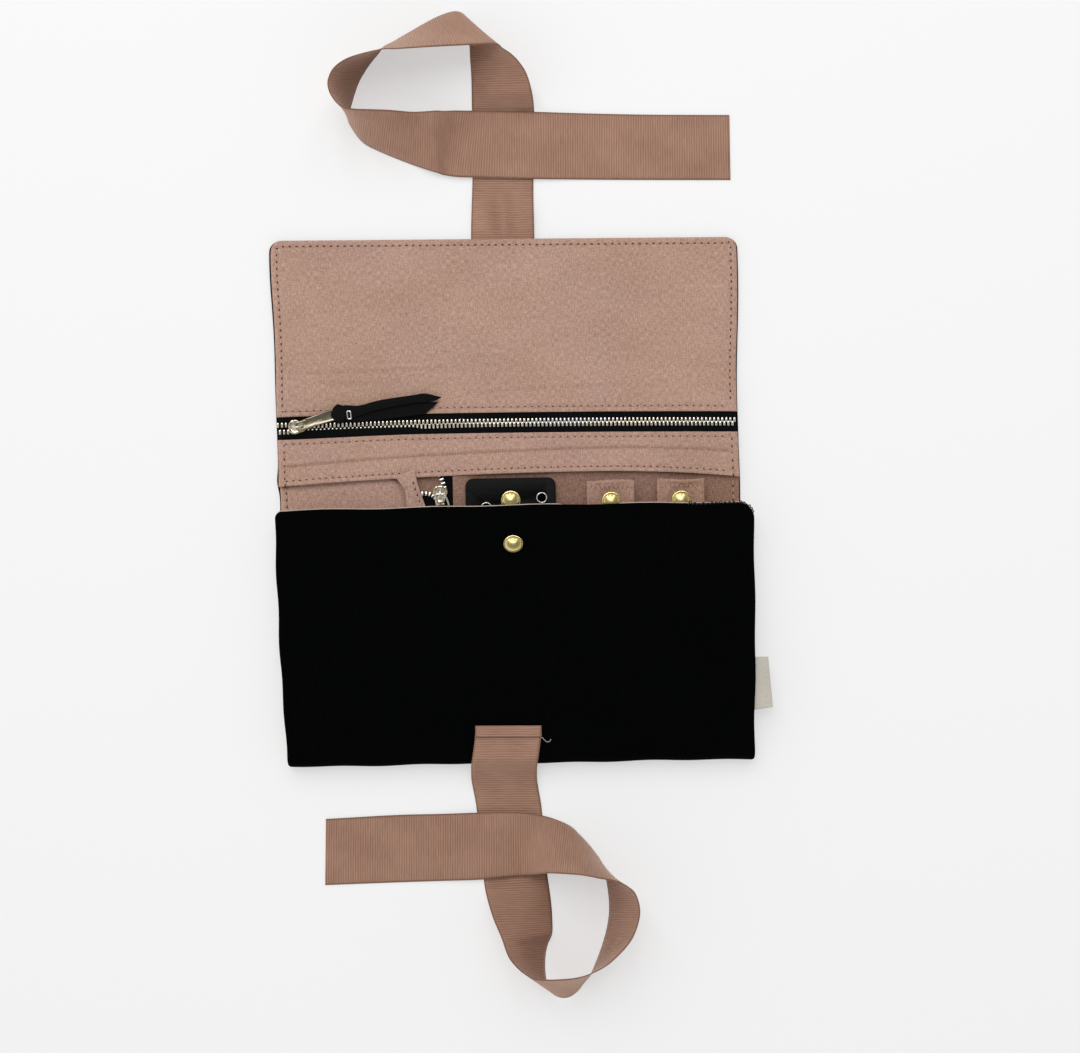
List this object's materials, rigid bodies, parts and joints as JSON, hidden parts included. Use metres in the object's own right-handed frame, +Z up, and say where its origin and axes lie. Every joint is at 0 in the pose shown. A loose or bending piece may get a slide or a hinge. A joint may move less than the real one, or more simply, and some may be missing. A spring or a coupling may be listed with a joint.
{
  "type": "jewelry pouch",
  "caption": "Tri-fold fabric jewelry pouch with a zipped pocket in its top flap, a second zip pocket, an earring plate, ring straps, a snap-closed front flap and ribbon ties.",
  "frame": {"origin": "middle of the back panel, on its underside", "axes": "+X along the folds, +Y from the front fold towards the opened top flap, +Z up from the table"},
  "size_m": [0.2605, 0.5276, 0.0353],
  "materials": {
    "black_cotton": "matt woven cotton",
    "pink_lining": "slubby plain weave",
    "batting": "lofted felt",
    "zip_tape": "woven tape",
    "zip_metal": "pale gold plate",
    "grosgrain": "ribbed ribbon",
    "leather": "fine grain",
    "gold": "bright gold plate",
    "steel": "bright nickel plate",
    "label_tape": "woven tape"
  },
  "bodies": {
    "back": {"back_outer_panel": "black_cotton", "back_batting": "batting", "back_pocket_backing": "pink_lining", "bottom_fold": "black_cotton", "side_pocket_panel": "pink_lining", "middle_lining": "pink_lining", "side_zip_tape_left": "zip_tape", "side_zip_tape_right": "zip_tape", "side_zip_teeth_left": "zip_metal", "side_zip_teeth_right": "zip_metal", "side_zip_stop": "zip_metal", "earring_plate": "leather", "earring_eyelet_1": "steel", "earring_eyelet_2": "steel", "earring_eyelet_3": "steel", "earring_eyelet_4": "steel", "earring_eyelet_5": "steel", "earring_eyelet_6": "steel", "plate_snap_cap": "gold", "plate_snap_socket": "gold", "plate_snap_stud": "steel", "strap_1": "pink_lining", "strap_1_snap_cap": "gold", "strap_1_snap_socket": "gold", "strap_1_snap_stud": "steel", "strap_2": "pink_lining", "strap_2_snap_cap": "gold", "strap_2_snap_socket": "gold", "strap_2_snap_stud": "steel", "closure_snap_stud": "steel"},
    "side_slider": {"side_zip_slider": "zip_metal", "side_zip_pull": "steel"},
    "top_flap": {"top_outer_panel": "black_cotton", "top_batting": "batting", "top_pocket_backing": "pink_lining", "upper_lining": "pink_lining", "lower_lining": "pink_lining", "zip_tape_upper": "zip_tape", "zip_tape_lower": "zip_tape", "zip_teeth_upper": "zip_metal", "zip_teeth_lower": "zip_metal", "top_ribbon": "grosgrain"},
    "main_slider": {"zip_slider": "zip_metal"},
    "zip_pull": {"zip_pull_tab": "steel", "zip_pull_strip": "black_cotton", "zip_pull_clip": "steel"},
    "front_flap": {"front_lining": "pink_lining", "front_batting": "batting", "front_outer_panel": "black_cotton", "closure_snap_cap": "gold", "closure_snap_socket": "gold", "side_label": "label_tape", "bottom_ribbon": "grosgrain"}
  },
  "joints": [
    {"name": "top_flap_fold", "type": "hinge", "parent": "back", "child": "top_flap", "pos_m": [0, 0.076, 0.01085], "axis": [1, 0, 0], "range_deg": [0, 180], "deforming": ["top_ribbon"]},
    {"name": "front_flap_fold", "type": "hinge", "parent": "back", "child": "front_flap", "pos_m": [0, -0.06985, 0.00615], "axis": [1, 0, 0], "range_deg": [0, 178], "deforming": ["bottom_ribbon", "bottom_fold"]},
    {"name": "zip_slider_slide", "type": "slide", "parent": "top_flap", "child": "main_slider", "axis": [1, 0, 0], "range_m": [0, 0.224], "deforming": ["zip_teeth_upper", "zip_teeth_lower"]},
    {"name": "zip_pull_lift", "type": "hinge", "parent": "main_slider", "child": "zip_pull", "pos_m": [-0.1128, 0.1046, 0.0074], "axis": [0.2756, -0.9613, 0], "range_deg": [0, 180]},
    {"name": "side_slider_slide", "type": "slide", "parent": "back", "child": "side_slider", "axis": [0, -1, 0], "range_m": [0, 0.112], "deforming": ["side_zip_teeth_left", "side_zip_teeth_right"]}
  ]
}
